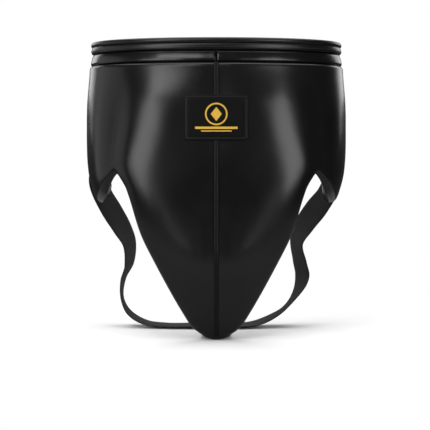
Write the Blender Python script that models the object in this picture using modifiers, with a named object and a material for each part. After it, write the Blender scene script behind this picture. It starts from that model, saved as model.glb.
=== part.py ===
"""A boxing groin protector: padded leather front, hip wings, groin cup, rear closure and leg straps.

The frame is +Z up with the front facing -Y. The origin is the centre of the waist opening, level
with the top of the rim. Every layer of the front is a sheet at its own depth under one body
surface, which is set by a few horizontal sections.
"""

import math

import bmesh
import bpy
from mathutils import Vector

# Driving dimensions, in metres and degrees
OBJECT_NAME = "groin_protector"
WAIST_HALF_WIDTH = 0.1490
WAIST_HALF_DEPTH = 0.1050
RIM_HEIGHT = 0.0110
BAND_HEIGHT = 0.0130
BODY_TOP = -0.0270
APEX_HEIGHT = -0.1500
APEX_ANGLE = 51.5
APEX_ROUND = 0.0080
LIP_SLANT = 430.0
TAB_BOTTOM = -0.1870
TAB_CORNER = 0.0120
REAR_ANGLE = 125.0
REAR_SLANT = 18.0
SLANT_TOP = -0.1180
SLANT_BOTTOM = -0.1580
FLOOR = -0.3400
TIP_RADIUS = 0.0400
TIP_JOIN = 0.0220
EDGE_INSET = 0.0060
EDGE_RADIUS = 0.0055
COVER_THICKNESS = 0.0014
LINING_THICKNESS = 0.0012
FOAM_THICKNESS = 0.0056
COVER_INSET = 0.0106
CENTRE_GAP = 0.0024
EDGE_DEPTH = 0.0061
FOAM_INSET = 0.0145
FOAM_DEPTH = 0.0030
LINING_DEPTH = 0.0108
CUP_DEPTH = 0.0130
CUP_THICKNESS = 0.0024
STRAP_WIDTH = 0.0380
STRAP_THICKNESS = 0.0018
ANCHOR_STAND = 0.0018
ANCHOR_WIDTH = 0.0420
ANCHOR_THICKNESS = 0.0012
ANCHOR_TOP = -0.1130
ANCHOR_BOTTOM = -0.1390
TONGUE_WIDTH = 0.0340
TONGUE_THICKNESS = 0.0014
BEAD_RADIUS = 0.0030
PIPING_RADIUS = 0.0015
LABEL_MIDDLE = -0.0877
LABEL_HALF_WIDTH = 0.0300
LABEL_HALF_HEIGHT = 0.0210
BACKING_MARGIN = 0.0041
CUP_CENTRE = -0.2120
CUP_HALF_HEIGHT = 0.0660
CUP_HALF_WIDTH = 0.0480
CUSHION_RADIUS = 0.0060
BAND_TOP = -0.0360
BAND_BOTTOM = -0.1260
BAND_GAP = 0.6

# Body sections, top to bottom: height, half width, half depth, front face, squareness of the front
UPPER = [
    (-0.026, 0.1505, 0.1085, -0.1105, 2.2),
    (-0.090, 0.1525, 0.1115, -0.1165, 2.5),
    (-0.150, 0.1500, 0.1130, -0.1205, 2.9),
]
GROIN = UPPER + [
    (-0.200, 0.1280, 0.0960, -0.1225, 2.8),
    (-0.250, 0.1010, 0.0770, -0.1205, 2.5),
    (-0.300, 0.0740, 0.0570, -0.1115, 2.3),
    (-0.336, 0.0540, 0.0400, -0.0965, 2.1),
]
WING = UPPER + [(-0.190, 0.1390, 0.1100, -0.1185, 2.8)]
WAIST = [
    (0.0, WAIST_HALF_WIDTH, WAIST_HALF_DEPTH, -WAIST_HALF_DEPTH, 2.15),
    (-0.2, WAIST_HALF_WIDTH, WAIST_HALF_DEPTH, -WAIST_HALF_DEPTH, 2.15),
]

# Half width of the groin panel's outline at each height
GROIN_OUTLINE = [
    (-0.150, 0.1155),
    (-0.168, 0.1045),
    (-0.220, 0.0880),
    (-0.250, 0.0735),
    (-0.290, 0.0520),
    (-0.322, 0.0335),
]

# Centre line of each leg strap, top to bottom: point, then the way its width runs
STRAP_LEFT = [
    ((-0.1380, 0.0435, -0.116), (0.55, 0.84, 0.00)),
    ((-0.1382, 0.0435, -0.140), (0.55, 0.84, 0.00)),
    ((-0.1450, 0.0410, -0.158), (0.52, 0.86, 0.00)),
    ((-0.1405, 0.0440, -0.177), (0.54, 0.84, 0.08)),
    ((-0.1290, 0.0450, -0.198), (0.55, 0.80, 0.20)),
    ((-0.1160, 0.0450, -0.220), (0.48, 0.85, 0.20)),
    ((-0.1070, 0.0450, -0.240), (0.34, 0.93, 0.10)),
    ((-0.1075, 0.0450, -0.264), (0.24, 0.97, 0.05)),
    ((-0.1150, 0.0440, -0.284), (0.10, 0.99, 0.02)),
    ((-0.1160, 0.0420, -0.306), (0.00, 1.00, 0.00)),
    ((-0.1060, 0.0370, -0.324), (0.00, 1.00, 0.05)),
    ((-0.0860, 0.0290, -0.3350), (0.00, 1.00, 0.03)),
    ((-0.0600, 0.0230, -0.3375), (0.00, 1.00, 0.00)),
    ((-0.0300, 0.0200, -0.3372), (0.00, 1.00, 0.00)),
    ((-0.0010, 0.0200, -0.3372), (0.00, 1.00, 0.00)),
]
STRAP_RIGHT = [
    ((0.1380, 0.0435, -0.116), (-0.55, 0.84, 0.00)),
    ((0.1382, 0.0435, -0.140), (-0.55, 0.84, 0.00)),
    ((0.1430, 0.0410, -0.158), (-0.52, 0.86, 0.00)),
    ((0.1365, 0.0440, -0.177), (-0.56, 0.82, 0.08)),
    ((0.1230, 0.0450, -0.196), (-0.62, 0.75, 0.22)),
    ((0.1080, 0.0450, -0.217), (-0.52, 0.82, 0.22)),
    ((0.0990, 0.0450, -0.238), (-0.34, 0.93, 0.10)),
    ((0.1030, 0.0450, -0.262), (-0.38, 0.92, 0.02)),
    ((0.1060, 0.0440, -0.280), (-0.38, 0.92, -0.02)),
    ((0.0990, 0.0420, -0.300), (-0.22, 0.97, -0.10)),
    ((0.0840, 0.0370, -0.318), (0.00, 1.00, 0.00)),
    ((0.0640, 0.0310, -0.3300), (0.00, 1.00, 0.06)),
    ((0.0450, 0.0250, -0.3362), (0.00, 1.00, 0.04)),
    ((0.0250, 0.0200, -0.3372), (0.00, 1.00, 0.00)),
    ((0.0010, 0.0200, -0.3372), (0.00, 1.00, 0.00)),
]

# Colours: red, green, blue, roughness
BLACK_LEATHER = (0.018, 0.018, 0.019, 0.38)
BLACK_BINDING = (0.014, 0.014, 0.015, 0.45)
BLACK_ELASTIC = (0.020, 0.020, 0.021, 0.80)
GREY_FOAM = (0.200, 0.200, 0.210, 0.90)
LINING_CLOTH = (0.030, 0.030, 0.032, 0.85)
CUP_PLASTIC = (0.650, 0.660, 0.680, 0.35)
LABEL_CLOTH = (0.010, 0.010, 0.010, 0.55)
EMBLEM_GOLD = (0.640, 0.370, 0.050, 0.40)
HOOK_BLACK = (0.015, 0.015, 0.015, 0.90)


def clear_scene():
    for obj in list(bpy.data.objects):
        bpy.data.objects.remove(obj, do_unlink=True)


def smooth(stations, at, column=1):
    """The value of a column of stations at a height, on a smooth curve through them."""
    stations = sorted(stations)
    heights = [s[0] for s in stations]
    values = [s[column] for s in stations]
    at = min(max(at, heights[0]), heights[-1])
    last = len(stations) - 1
    slopes = []
    for i in range(last + 1):
        low, high = max(i - 1, 0), min(i + 1, last)
        slopes.append((values[high] - values[low]) / (heights[high] - heights[low]))
    i = 0
    while i < last - 1 and at > heights[i + 1]:
        i += 1
    span = heights[i + 1] - heights[i]
    t = (at - heights[i]) / span
    return (
        (2 * t**3 - 3 * t**2 + 1) * values[i]
        + (t**3 - 2 * t**2 + t) * span * slopes[i]
        + (3 * t**2 - 2 * t**3) * values[i + 1]
        + (t**3 - t**2) * span * slopes[i + 1]
    )


def raw_point(sections, angle, height):
    """A point on the body surface, whose section is an ellipse at the back and squarer in front."""
    half_width = smooth(sections, height, 1)
    half_depth = smooth(sections, height, 2)
    front = smooth(sections, height, 3)
    turn = math.radians(angle)
    power = smooth(sections, height, 4) if math.cos(turn) > 0 else 2.0
    across = abs(math.sin(turn)) / half_width
    along = abs(math.cos(turn)) / half_depth
    radius = (across**power + along**power) ** (-1 / power)
    return Vector(
        (radius * math.sin(turn), front + half_depth - radius * math.cos(turn), height)
    )


def angle_at(sections, wide, height):
    """The angle in the front half where the surface is this far from the middle."""
    low, high = 0.0, 90.0
    for _ in range(30):
        middle = (low + high) / 2
        if raw_point(sections, middle, height).x < wide:
            low = middle
        else:
            high = middle
    return (low + high) / 2


def body_point(sections, angle, height, depth):
    """A point at a depth under the body surface; the angle is 0 at the front, 90 at the right hip."""
    step_angle, step_height = 0.5, 0.001
    along = raw_point(sections, angle + step_angle, height) - raw_point(
        sections, angle - step_angle, height
    )
    up = raw_point(sections, angle, height + step_height) - raw_point(
        sections, angle, height - step_height
    )
    outward = along.cross(up).normalized()
    return raw_point(sections, angle, height) - outward * depth


def reach(sections, angle, height):
    """Metres along the surface for each degree of angle."""
    return (
        raw_point(sections, angle + 0.5, height) - raw_point(sections, angle - 0.5, height)
    ).length


def groin_half_width(height, inset):
    """Half width of the groin panel inside its outline, which ends in a round tip."""
    centre = FLOOR + TIP_RADIUS
    join = centre - TIP_JOIN * (TIP_RADIUS - inset) / TIP_RADIUS
    if height < join:
        return math.sqrt(max((TIP_RADIUS - inset) ** 2 - (height - centre) ** 2, 0.0))
    wide = smooth(GROIN_OUTLINE, height)
    slope = (smooth(GROIN_OUTLINE, height + 0.002) - smooth(GROIN_OUTLINE, height - 0.002)) / 0.004
    facing = 1.0 - 0.28 * min(wide / 0.09, 1.0)
    return wide - inset * math.hypot(1.0, slope) * facing


def cut_gap(height, inset):
    """How far a layer keeps from the leg cut-out's edge, rounded off above the apex."""
    above = (height - APEX_HEIGHT) / APEX_ROUND
    return inset * math.sqrt(max(1.0 - max(above, 0.0) ** 2, 0.0))


def groin_edge_angle(height, inset):
    if height >= APEX_HEIGHT:
        return APEX_ANGLE - cut_gap(height, inset) / reach(GROIN, APEX_ANGLE, height)
    wide = groin_half_width(height, inset)
    return angle_at(GROIN, wide, height)


def lip_angle(height, inset):
    angle = APEX_ANGLE + LIP_SLANT * max(APEX_HEIGHT - height, 0.0)
    return angle + cut_gap(height, inset) / reach(WING, angle, height)


def rear_line(height):
    """The wing's rear edge, which slants forward under the leg strap."""
    t = min(max((SLANT_TOP - height) / (SLANT_TOP - SLANT_BOTTOM), 0.0), 1.0)
    return REAR_ANGLE - REAR_SLANT * t * t * (3 - 2 * t)


def rear_angle(height, inset):
    per_degree = reach(WING, REAR_ANGLE, height)
    slope = (rear_line(height + 0.003) - rear_line(height - 0.003)) / 0.006 * per_degree
    return rear_line(height) - inset * math.hypot(1.0, slope) / per_degree


def tab_bottom(s, inset):
    corner = TAB_CORNER * (max(0.0, 0.25 - s) ** 2 + 1.4 * max(0.0, s - 0.75) ** 2) / 0.0625
    return TAB_BOTTOM + inset + corner


def tab_place(s, t, inset):
    """Angle and height on a hip tab: s runs from the leg lip to the rear edge, t downwards."""
    top = APEX_HEIGHT + APEX_ROUND
    height = top + t * (tab_bottom(s, inset) - top)
    front = lip_angle(height, inset)
    return front + s * (rear_angle(height, inset) - front), height


def groin_end(inset):
    return FLOOR + TIP_RADIUS - (TIP_RADIUS - inset) * math.cos(math.radians(18))


def material(name, colour):
    found = bpy.data.materials.get(name)
    if found:
        return found
    made = bpy.data.materials.new(name)
    made.use_nodes = True
    shader = made.node_tree.nodes["Principled BSDF"]
    shader.inputs["Base Color"].default_value = (*colour[:3], 1)
    shader.inputs["Roughness"].default_value = colour[3]
    shader.inputs["Metallic"].default_value = 0.0
    return made


def place(name, data, colour):
    obj = bpy.data.objects.new(name, data)
    bpy.data.collections[OBJECT_NAME].objects.link(obj)
    data.materials.append(material(name + "_material", colour))
    return obj


def grid(bm, columns, rows, point):
    """A flat grid bent into place: point takes s and t, each from 0 to 1."""
    made = bmesh.ops.create_grid(bm, x_segments=columns, y_segments=rows, size=0.5)
    for vert in made["verts"]:
        vert.co = point(vert.co.x + 0.5, vert.co.y + 0.5)


def sheet(name, bm, thickness, colour):
    """Closes an open sheet by giving it a thickness, towards the middle of the object."""
    bmesh.ops.remove_doubles(bm, verts=bm.verts, dist=0.00002)
    bmesh.ops.recalc_face_normals(bm, faces=bm.faces)
    bm.faces.ensure_lookup_table()
    first = bm.faces[0]
    spot = first.calc_center_median()
    if first.normal.dot(Vector((spot.x, spot.y, 0))) < 0:
        bmesh.ops.reverse_faces(bm, faces=bm.faces)
    mesh = bpy.data.meshes.new(name)
    bm.to_mesh(mesh)
    bm.free()
    obj = place(name, mesh, colour)
    mesh.shade_smooth()
    solid = obj.modifiers.new("thickness", "SOLIDIFY")
    solid.thickness = thickness
    solid.offset = -1
    return obj


def tube(name, points, radii, colour, resolution=1):
    curve = bpy.data.curves.new(name, "CURVE")
    curve.dimensions = "3D"
    curve.fill_mode = "FULL"
    curve.bevel_depth = 1.0
    curve.bevel_resolution = resolution
    curve.use_fill_caps = True
    spline = curve.splines.new("POLY")
    spline.points.add(len(points) - 1)
    for target, point, radius in zip(spline.points, points, radii):
        target.co = (*point, 1)
        target.radius = radius
    return place(name, curve, colour)


def even(points, count):
    """The points spaced evenly along their line."""
    lengths = [0.0]
    for a, b in zip(points, points[1:]):
        lengths.append(lengths[-1] + (b - a).length)
    found = []
    i = 0
    for k in range(count):
        want = lengths[-1] * k / (count - 1)
        while i < len(points) - 2 and lengths[i + 1] < want:
            i += 1
        share = (want - lengths[i]) / max(lengths[i + 1] - lengths[i], 1e-9)
        found.append(points[i].lerp(points[i + 1], min(share, 1.0)))
    return found


def half_panel(name, side, depth, thickness, colour):
    """One half of the front: the upper part, the groin panel and the hip tab as one sheet."""
    bm = bmesh.new()
    split = APEX_HEIGHT + APEX_ROUND
    inset = COVER_INSET

    def centre_angle(height):
        return angle_at(GROIN, CENTRE_GAP, height)

    def mirrored(point):
        return Vector((side * point.x, point.y, point.z))

    def inner_top(s, t):
        height = BODY_TOP + t * (split - BODY_TOP)
        start = centre_angle(height)
        return mirrored(body_point(GROIN, start + s * (APEX_ANGLE - start), height, depth))

    def outer_top(s, t):
        height = BODY_TOP + t * (split - BODY_TOP)
        angle = APEX_ANGLE + s * (rear_angle(height, inset) - APEX_ANGLE)
        return mirrored(body_point(WING, angle, height, depth))

    def groin(s, t):
        height = split + (1 - (1 - t) ** 1.15) * (groin_end(inset) - split)
        start = centre_angle(height)
        return mirrored(
            body_point(GROIN, start + s * (groin_edge_angle(height, inset) - start), height, depth)
        )

    def tab(s, t):
        angle, height = tab_place(s, t, inset)
        return mirrored(body_point(WING, angle, height, depth))

    grid(bm, 7, 8, inner_top)
    grid(bm, 8, 8, outer_top)
    grid(bm, 7, 12, groin)
    grid(bm, 8, 7, tab)
    return sheet(name, bm, thickness, colour)


def patch(name, place_at, sections, depth, thickness, colour, columns, rows, side=1):
    """A sheet over one region; place_at gives the angle and height for s and t."""
    bm = bmesh.new()

    def point(s, t):
        angle, height = place_at(s, t)
        spot = body_point(sections, angle, height, depth)
        return Vector((side * spot.x, spot.y, spot.z))

    grid(bm, columns, rows, point)
    return sheet(name, bm, thickness, colour)


def region(low_angle, high_angle, top, bottom):
    def place_at(s, t):
        return low_angle + s * (high_angle - low_angle), top + t * (bottom - top)

    return place_at


def covers_and_linings(side, word):
    for name, depth, thickness, colour in (
        ("front_cover_", 0.0, COVER_THICKNESS, BLACK_LEATHER),
        ("lining_", LINING_DEPTH, LINING_THICKNESS, LINING_CLOTH),
    ):
        half_panel(name + word, side, depth, thickness, colour)


def foams(side, word):
    top = BODY_TOP - 0.004
    patch(
        "abdomen_foam_" + word,
        region(2.0, 58.0, top, -0.134),
        GROIN,
        FOAM_DEPTH,
        FOAM_THICKNESS,
        GREY_FOAM,
        8,
        5,
        side,
    )

    def hip_place(s, t):
        low = -0.140 - 0.032 * min(1.0, max(0.0, (s - 0.15) / 0.25)) + 0.012 * max(0.0, s - 0.8) / 0.2
        height = top + t * (low - top)
        return 61.0 + s * (rear_angle(height, FOAM_INSET) - 61.0), height

    patch(
        "hip_foam_" + word, hip_place, WING, FOAM_DEPTH, FOAM_THICKNESS, GREY_FOAM, 10, 6, side
    )

    def groin_place(s, t):
        height = -0.138 + t * (groin_end(FOAM_INSET) + 0.138)
        edge = groin_edge_angle(height, FOAM_INSET)
        start = angle_at(GROIN, 0.0045, height)
        return start + s * (edge - start), height

    patch(
        "groin_foam_" + word, groin_place, GROIN, FOAM_DEPTH, FOAM_THICKNESS, GREY_FOAM, 7, 11, side
    )


def edges(side, word):
    middle = EDGE_DEPTH

    def mirrored(point):
        return Vector((side * point.x, point.y, point.z))

    first, last = APEX_HEIGHT - EDGE_INSET, groin_end(EDGE_INSET)
    heights = [first + (last - first) * k / 40 for k in range(41)]
    line = [
        mirrored(body_point(GROIN, groin_edge_angle(h, EDGE_INSET), h, middle)) for h in heights
    ]
    low = body_point(GROIN, 0.0, FLOOR + EDGE_INSET, middle)
    line.append(Vector((side * 0.0020, low.y, low.z)))
    points = even(line, 24)
    radii = [EDGE_RADIUS * min(1.0, 0.55 + 0.15 * k) for k in range(24)]
    tube("groin_edge_" + word, points, radii, BLACK_BINDING)

    line = [mirrored(body_point(WING, *tab_place(0.0, k / 20, EDGE_INSET), middle)) for k in range(2, 21)]
    line += [mirrored(body_point(WING, *tab_place(k / 20, 1.0, EDGE_INSET), middle)) for k in range(1, 21)]
    line += [
        mirrored(body_point(WING, *tab_place(1.0, 1.0 - k / 10, EDGE_INSET), middle))
        for k in range(1, 11)
    ]
    top = APEX_HEIGHT + APEX_ROUND
    for k in range(1, 13):
        height = top + (BODY_TOP - 0.002 - top) * k / 12
        line.append(mirrored(body_point(WING, rear_angle(height, EDGE_INSET), height, middle)))
    points = even(line, 38)
    radii = [EDGE_RADIUS * min(1.0, 0.6 + 0.15 * k) for k in range(38)]
    tube("wing_edge_" + word, points, radii, BLACK_BINDING)


def waistband(side, word):
    top = -RIM_HEIGHT - 0.0008
    patch(
        "waistband_" + word,
        region(1.0, REAR_ANGLE, top, top - BAND_HEIGHT),
        WAIST,
        0.0008,
        0.0090,
        BLACK_LEATHER,
        14,
        2,
        side,
    )


def rim():
    """The rolled bead on the top edge and the stitched tape under it."""
    angles = [-REAR_ANGLE + 2 * REAR_ANGLE * k / 36 for k in range(37)]
    points = [body_point(WAIST, angle, -BEAD_RADIUS, BEAD_RADIUS) for angle in angles]
    tube("rim_bead", points, [BEAD_RADIUS] * 37, BLACK_BINDING, 2)
    patch(
        "rim_tape",
        region(-REAR_ANGLE, REAR_ANGLE, -2 * BEAD_RADIUS - 0.0006, -RIM_HEIGHT),
        WAIST,
        0.0002,
        0.0070,
        BLACK_BINDING,
        30,
        1,
    )


def centre_piping(name, top, bottom, count):
    heights = [top + (bottom - top) * k / (count - 1) for k in range(count)]
    points = [body_point(GROIN, 0.0, height, 0.0) for height in heights]
    tube(name, points, [PIPING_RADIUS] * count, BLACK_BINDING)


def label():
    """The stitched leather patch, the woven label on it and a plain ring emblem."""
    for name, margin, rise, thickness, colour in (
        ("label_backing", BACKING_MARGIN, 0.0016, 0.0012, BLACK_LEATHER),
        ("label", 0.0, 0.0027, 0.0007, LABEL_CLOTH),
    ):
        half = angle_at(GROIN, LABEL_HALF_WIDTH + margin, LABEL_MIDDLE)
        high = LABEL_HALF_HEIGHT + margin
        panel = region(-half, half, LABEL_MIDDLE + high, LABEL_MIDDLE - high)
        patch(name, panel, GROIN, -rise, thickness, colour, 6, 3)
    bm = bmesh.new()

    def ring(s, t):
        turn = 2 * math.pi * s
        out = 0.0105 + 0.0035 * t
        height = LABEL_MIDDLE + out * math.sin(turn)
        across = out * math.cos(turn)
        angle = math.copysign(angle_at(GROIN, abs(across), height), across)
        return body_point(GROIN, angle, height, -0.0036)

    grid(bm, 24, 1, ring)
    sheet("label_emblem", bm, 0.0004, EMBLEM_GOLD)


def cup():
    """The hard cup behind the lining, the liner in it and the soft cushion round its rim."""

    def outline(scale):
        def place_at(s, t):
            down = 2 * t - 1
            wide = CUP_HALF_WIDTH * scale * math.sqrt(max(1 - (0.93 * down) ** 2, 0.02))
            height = CUP_CENTRE - CUP_HALF_HEIGHT * scale * down
            across = (2 * s - 1) * wide * (1.0 - 0.30 * down)
            return math.copysign(angle_at(GROIN, abs(across), height), across), height

        return place_at

    patch("groin_cup", outline(0.90), GROIN, CUP_DEPTH, CUP_THICKNESS, CUP_PLASTIC, 10, 10)
    patch("cup_liner", outline(0.84), GROIN, CUP_DEPTH + 0.0032, 0.0012, LINING_CLOTH, 8, 8)
    points = []
    for k in range(29):
        turn = math.radians(12.6 * k)
        height = CUP_CENTRE + (CUP_HALF_HEIGHT + 0.004) * math.cos(turn)
        across = (CUP_HALF_WIDTH + 0.004) * math.sin(turn) * (1.0 + 0.24 * math.cos(turn))
        angle = math.copysign(angle_at(GROIN, abs(across), height), across)
        points.append(body_point(GROIN, angle, height, CUP_DEPTH + CUSHION_RADIUS + 0.0004))
    tube("cup_cushion", points, [CUSHION_RADIUS] * 29, BLACK_LEATHER)


def closure():
    """The rear waist closure: two elastic bands, a loop patch and a tab with its hook patch."""
    left_rear = 360 - REAR_ANGLE - BAND_GAP
    for name, low, high, inset, depth, thickness, colour, columns in (
        ("back_elastic_right", REAR_ANGLE + BAND_GAP, 188.0, 0.0, 0.0058, 0.0018, BLACK_ELASTIC, 10),
        ("back_elastic_left", 189.0, left_rear, 0.0, 0.0058, 0.0018, BLACK_ELASTIC, 8),
        ("loop_patch", 140.0, 186.0, 0.010, 0.0040, 0.0013, HOOK_BLACK, 8),
        ("hook_patch", 148.0, 186.0, 0.014, 0.0022, 0.0013, HOOK_BLACK, 7),
        ("closure_tab", 144.0, 189.5, 0.010, -0.0002, 0.0019, BLACK_LEATHER, 8),
        ("closure_seam_strip", 190.6, 196.0, 0.004, 0.0005, 0.0048, BLACK_LEATHER, 2),
    ):
        panel = region(low, high, BAND_TOP - inset, BAND_BOTTOM + inset)
        patch(name, panel, UPPER, depth, thickness, colour, columns, 2)


def ribbon(name, route, width, thickness, segments, colour):
    """A flat strip along a route of points, each with the way that the width runs there."""
    bm = bmesh.new()
    stations = [
        (k / (len(route) - 1), *spot, *Vector(across).normalized())
        for k, (spot, across) in enumerate(route)
    ]

    def point(s, t):
        spot = Vector([smooth(stations, t, column) for column in (1, 2, 3)])
        across = Vector([smooth(stations, t, column) for column in (4, 5, 6)]).normalized()
        return spot + across * width * (s - 0.5)

    grid(bm, 1, segments, point)
    obj = sheet(name, bm, thickness, colour)
    obj.modifiers["thickness"].offset = 0


def straps():
    ribbon("leg_strap_left", STRAP_LEFT, STRAP_WIDTH, STRAP_THICKNESS, 40, BLACK_ELASTIC)
    ribbon("leg_strap_right", STRAP_RIGHT, STRAP_WIDTH, STRAP_THICKNESS, 40, BLACK_ELASTIC)
    for side, word in ((-1, "left"), (1, "right")):
        across = (-side * 0.55, 0.84, 0.0)
        route = [
            ((side * (0.1380 + ANCHOR_STAND), 0.0435 + ANCHOR_STAND * 0.66, height), across)
            for height in (ANCHOR_TOP, ANCHOR_BOTTOM)
        ]
        ribbon("strap_anchor_" + word, route, ANCHOR_WIDTH, ANCHOR_THICKNESS, 1, BLACK_LEATHER)


def tip_tongue():
    """The strip sewn inside the tip, which runs back along the floor under both strap ends."""
    lie = FLOOR + TONGUE_THICKNESS / 2
    route = [
        ((0.0, spot_y, spot_z), (1.0, 0.0, 0.0))
        for spot_y, spot_z in (
            (-0.0895, -0.3060),
            (-0.0845, -0.3180),
            (-0.0775, -0.3290),
            (-0.0660, -0.3362),
            (-0.0480, lie),
            (-0.0200, lie),
            (0.0100, lie),
            (0.0420, lie),
        )
    ]
    ribbon("tip_tongue", route, TONGUE_WIDTH, TONGUE_THICKNESS, 22, BLACK_LEATHER)


def main():
    clear_scene()
    collection = bpy.data.collections.new(OBJECT_NAME)
    bpy.context.scene.collection.children.link(collection)
    for side, word in ((-1, "left"), (1, "right")):
        covers_and_linings(side, word)
        foams(side, word)
        edges(side, word)
        waistband(side, word)
    rim()
    centre_piping("centre_piping_upper", BODY_TOP, -0.0615, 5)
    centre_piping("centre_piping_lower", -0.1140, -0.3300, 18)
    label()
    cup()
    closure()
    straps()
    tip_tongue()


main()
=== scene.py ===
"""The looks of the boxing groin protector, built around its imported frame."""

import bisect
import math

import bmesh
import bpy
import numpy
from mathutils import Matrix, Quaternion, Vector, noise


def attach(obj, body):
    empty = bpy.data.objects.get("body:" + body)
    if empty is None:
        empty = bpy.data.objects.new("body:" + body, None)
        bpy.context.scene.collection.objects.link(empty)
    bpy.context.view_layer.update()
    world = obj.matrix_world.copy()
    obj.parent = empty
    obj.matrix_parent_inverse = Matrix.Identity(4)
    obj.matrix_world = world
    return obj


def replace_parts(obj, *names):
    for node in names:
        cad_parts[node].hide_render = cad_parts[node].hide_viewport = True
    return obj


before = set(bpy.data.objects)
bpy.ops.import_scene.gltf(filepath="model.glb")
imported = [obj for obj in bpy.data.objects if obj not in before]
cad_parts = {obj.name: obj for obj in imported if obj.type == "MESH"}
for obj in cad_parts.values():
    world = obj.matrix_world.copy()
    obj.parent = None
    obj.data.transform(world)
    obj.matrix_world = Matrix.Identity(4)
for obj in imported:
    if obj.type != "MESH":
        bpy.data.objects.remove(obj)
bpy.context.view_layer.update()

BODY = "front"
FLAP = "closure"

# The body's shape, in metres and degrees, as the CAD part has it
FLOOR = -0.3400
BAND_HEIGHT = 0.0130
BODY_TOP = -0.0256
APEX_HEIGHT = -0.1500
APEX_ANGLE = 51.5
APEX_ROUND = 0.0080
LIP_SLANT = 430.0
TAB_BOTTOM = -0.1870
TAB_CORNER = 0.0120
REAR_ANGLE = 125.0
REAR_SLANT = 18.0
SLANT_TOP = -0.1180
SLANT_BOTTOM = -0.1580
TIP_RADIUS = 0.0400
TIP_JOIN = 0.0220
PANEL_DEPTH = 0.0122
LINING_TOP = -0.0105
LINING_INSET = 0.0095
EDGE_ROUND = 0.0075
EDGE_FADE = 0.0140
STRAP_WIDTH = 0.0380
STRAP_THICKNESS = 0.0018

# The rim as it is seen, which stands a little above the CAD part's: the bead, then the tape under it
RIM_TOP = 0.0026
BEAD_HEIGHT = 0.0064
BEAD_DEPTH, BEAD_HALF_DEPTH = 0.0030, 0.0031
TAPE_TOP = -0.0034
TAPE_DEPTH, TAPE_HALF_DEPTH = 0.0037, 0.0033
RIM_HEIGHT = 0.0112
RIM_STITCHES = -0.0080
STITCHES_OUTSIDE, STITCHES_INSIDE = 0.0003, 0.0071

# The stuffing, in metres; the last two are how grid rows and columns crowd towards an edge
COVER_OVERLAP = 0.0004
COVER_MERGE = 0.00012
TOP_ROLL = 0.0034
CUP_RISE = 0.0044
CUP_CREST = -0.2480
BAND_DEPTH, BAND_HALF_DEPTH = 0.0056, 0.0052
BAND_LEAN = 0.24
TOP_CROWDING = 1.5
TIP_CROWDING = 1.9

# The double welt on the centre seam
WELT_HALF_WIDTH = 0.0026
WELT_RISE = 0.0014
WELT_SUNK = 0.0002
WELT_UNDER = 0.0022
WELT_ROW = 0.0016

# The label's patch and face: half width, top, bottom, upper and lower corners, bottom and top faces
LABEL_PATCH = (0.0352, -0.0626, -0.1128, 0.0020, 0.0020, -0.0010, 0.0022)
LABEL_FACE = (0.0302, -0.0668, -0.1088, 0.0065, 0.0022, 0.0020, 0.0030)
LABEL_SIDE = 0.0022
MARK_HEIGHT = -0.0868
MARK_LOW, MARK_HIGH = 0.0029, 0.0036
RING_RADII = (0.0125, 0.0108)
RING_LIFT = 0.0026
DIAMOND = (0.0062, 0.0078)
BARS = ((0.0235, 0.0013, -0.0128), (0.0170, 0.0006, -0.0163))

# The patch that sews each leg strap to its wing
ANCHOR_X, ANCHOR_Y, ANCHOR_Z = 0.1398, 0.0447, -0.126
ANCHOR_ROWS = (-0.113, -0.121, -0.130, -0.139)
ANCHOR_WIDTH = 0.0420
ANCHOR_THICKNESS = 0.0014
ANCHOR_STITCHES = (0.0185, 0.0105)

# The cushion round the cup
CUSHION_CENTRE = -0.2120
CUSHION_HALF_HEIGHT = 0.0700
CUSHION_HALF_WIDTH = 0.0520
CUSHION_FLARE = 0.24
CUSHION_DEPTH = 0.0194
CUSHION_RADIUS = 0.0058

# The rear closure: heights in metres, and the degrees over which the flap's free end is rounded
CLOSURE_TOP = -0.036
CLOSURE_BOTTOM = -0.126
FLAP_CORNER = 9.0

# How finely the flat pieces are divided
SLAB_COLUMNS, SLAB_ROWS = 60, 24
RIBBON_COLUMNS = 16

# Body sections, top to bottom: height, half width, half depth, front face, squareness of the front
UPPER = [
    (-0.026, 0.1505, 0.1085, -0.1105, 2.2),
    (-0.090, 0.1525, 0.1115, -0.1165, 2.5),
    (-0.150, 0.1500, 0.1130, -0.1205, 2.9),
]
GROIN = UPPER + [
    (-0.200, 0.1280, 0.0960, -0.1225, 2.8),
    (-0.250, 0.1010, 0.0770, -0.1205, 2.5),
    (-0.300, 0.0740, 0.0570, -0.1115, 2.3),
    (-0.336, 0.0540, 0.0400, -0.0965, 2.1),
]
WING = UPPER + [(-0.190, 0.1390, 0.1100, -0.1185, 2.8)]
WAIST = [(0.0, 0.1490, 0.1050, -0.1050, 2.15), (-0.2, 0.1490, 0.1050, -0.1050, 2.15)]

# Half width of the groin panel's outline at each height
GROIN_OUTLINE = [
    (-0.150, 0.1155),
    (-0.168, 0.1045),
    (-0.220, 0.0880),
    (-0.250, 0.0735),
    (-0.290, 0.0520),
    (-0.322, 0.0335),
]

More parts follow.
